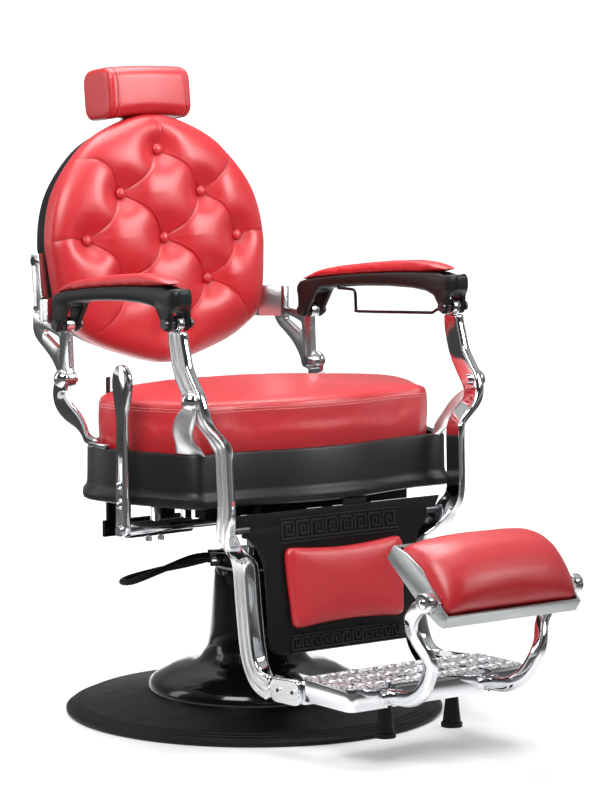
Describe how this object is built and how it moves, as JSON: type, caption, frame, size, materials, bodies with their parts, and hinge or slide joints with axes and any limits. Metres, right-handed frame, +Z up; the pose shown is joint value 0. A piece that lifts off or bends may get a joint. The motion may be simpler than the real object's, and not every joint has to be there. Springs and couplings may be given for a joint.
{
  "type": "barber chair",
  "caption": "Barber chair on a round hydraulic base, with a tufted reclining back, linked armrests and legs, sliding headrest, footplate and swing-up legrest.",
  "frame": {"origin": "on the floor, under the column's axis", "axes": "+Z up along the column and lift; the sitter faces -Y; +X is the sitter's left"},
  "size_m": [0.74, 1.1647, 1.189],
  "materials": {
    "steel": "plain machined steel",
    "black_casting": "satin black paint",
    "black_rubber": "matte",
    "gloss_black": "gloss black enamel",
    "pedal_rubber": "black dipped rod",
    "chrome": "polished",
    "satin_pan": "satin black moulding",
    "satin_black": "satin black lacquer",
    "satin_grey": "satin, bright edges",
    "plywood": "raw plywood",
    "black_panel": "satin moulding",
    "red_leather": "semi-gloss hide over foam"
  },
  "bodies": {
    "base": {"base_floor_plate": "steel", "base_casting": "black_casting", "base_edge_ring": "black_rubber", "column_bell": "gloss_black", "swivel_bush": "steel", "thrust_bearing": "steel"},
    "pump": {"pump_cylinder": "steel", "pump_head": "gloss_black", "pedal_pin": "chrome"},
    "pedal": {"pump_pedal": "pedal_rubber"},
    "seat": {"piston": "chrome", "seat_hub": "black_casting", "seat_frame": "black_casting", "seat_pan": "satin_pan", "seat_board": "plywood", "seat_cushion": "red_leather", "cushion_tab": "black_rubber", "rear_bracket_right": "chrome", "rear_bracket_left": "chrome", "front_bracket_right": "chrome", "front_bracket_left": "chrome", "pivot_bolts": "chrome", "lock_cylinder": "gloss_black", "lever_support": "chrome", "lever_rail": "gloss_black"},
    "back": {"back_link_right": "chrome", "back_link_left": "chrome", "back_mount_blocks": "black_rubber", "back_screws": "chrome", "back_shell": "black_panel", "back_cushion": "red_leather", "back_buttons": "red_leather", "headrest_socket": "black_panel"},
    "leg_frame": {"front_bar_right": "chrome", "front_bar_left": "chrome", "calf_panel": "black_panel", "calf_pad": "red_leather", "panel_bolts": "chrome", "footplate": "chrome", "footplate_feet": "black_rubber", "footplate_screws": "chrome", "knuckle_pins": "chrome"},
    "arm_right": {"armrest_right": "satin_black", "armrest_pad_right": "red_leather", "armrest_screws_right": "chrome"},
    "arm_left": {"armrest_left": "satin_black", "armrest_pad_left": "red_leather", "armrest_screws_left": "chrome", "towel_bar": "gloss_black"},
    "headrest": {"headrest_post": "chrome", "headrest_pad": "red_leather"},
    "legrest_arms": {"legrest_arm_right": "chrome", "legrest_arm_left": "chrome"},
    "legrest": {"legrest_tray": "satin_grey", "legrest_cushion": "red_leather", "legrest_bolts": "chrome"},
    "recline_lever": {"recline_handle": "chrome", "handle_screws": "steel"},
    "lock_plunger": {"lock_rod": "chrome"}
  },
  "joints": [
    {"name": "swivel", "type": "hinge", "parent": "base", "child": "pump", "pos_m": [0, 0, 0], "axis": [0, 0, 1], "continuous": true},
    {"name": "pedal_stroke", "type": "hinge", "parent": "pump", "child": "pedal", "pos_m": [-0.06472, 0.03587, 0.2854], "axis": [-0.4848, -0.8746, 0], "range_deg": [0, 20], "stiffness_Nm_per_rad": 6, "springref_deg": -11.46},
    {"name": "lift", "type": "slide", "parent": "pump", "child": "seat", "axis": [0, 0, 1], "range_m": [0, 0.15]},
    {"name": "recline", "type": "hinge", "parent": "seat", "child": "back", "pos_m": [0, 0.193, 0.619], "axis": [-1, 0, 0], "range_deg": [0, 40]},
    {"name": "leg_swing", "type": "hinge", "parent": "seat", "child": "leg_frame", "pos_m": [0, -0.253, 0.617], "axis": [-1, 0, 0], "range_deg": [0, 33]},
    {"name": "arm_tilt_right", "type": "hinge", "parent": "back", "child": "arm_right", "pos_m": [0, 0.195, 0.718], "axis": [-1, 0, 0], "range_deg": [-45, 0.5]},
    {"name": "arm_tilt_left", "type": "hinge", "parent": "back", "child": "arm_left", "pos_m": [0, 0.195, 0.718], "axis": [-1, 0, 0], "range_deg": [-45, 0.5]},
    {"name": "headrest_lift", "type": "slide", "parent": "back", "child": "headrest", "axis": [0, 0.1132, 0.9936], "range_m": [0, 0.08]},
    {"name": "legrest_swing", "type": "hinge", "parent": "leg_frame", "child": "legrest_arms", "pos_m": [0, -0.53, 0.121], "axis": [-1, 0, 0], "range_deg": [0, 55]},
    {"name": "legrest_tilt", "type": "hinge", "parent": "legrest_arms", "child": "legrest", "pos_m": [0, -0.7, 0.311], "axis": [-1, 0, 0], "range_deg": [-30, 30]},
    {"name": "lever_pull", "type": "hinge", "parent": "seat", "child": "recline_lever", "pos_m": [0, -0.104, 0.378], "axis": [1, 0, 0], "range_deg": [0, 15], "stiffness_Nm_per_rad": 8, "springref_deg": -11.46},
    {"name": "lock_stroke", "type": "slide", "parent": "seat", "child": "lock_plunger", "axis": [0, -1, 0], "range_m": [0, 0.12]}
  ],
  "couplings": [
    {"joint": "leg_swing", "follows": "recline", "ratio": 0.798},
    {"joint": "arm_tilt_right", "follows": "recline", "ratio": -1.092},
    {"joint": "arm_tilt_left", "follows": "recline", "ratio": -1.092},
    {"joint": "lock_stroke", "follows": "recline", "m_per_rad": 0.165}
  ]
}
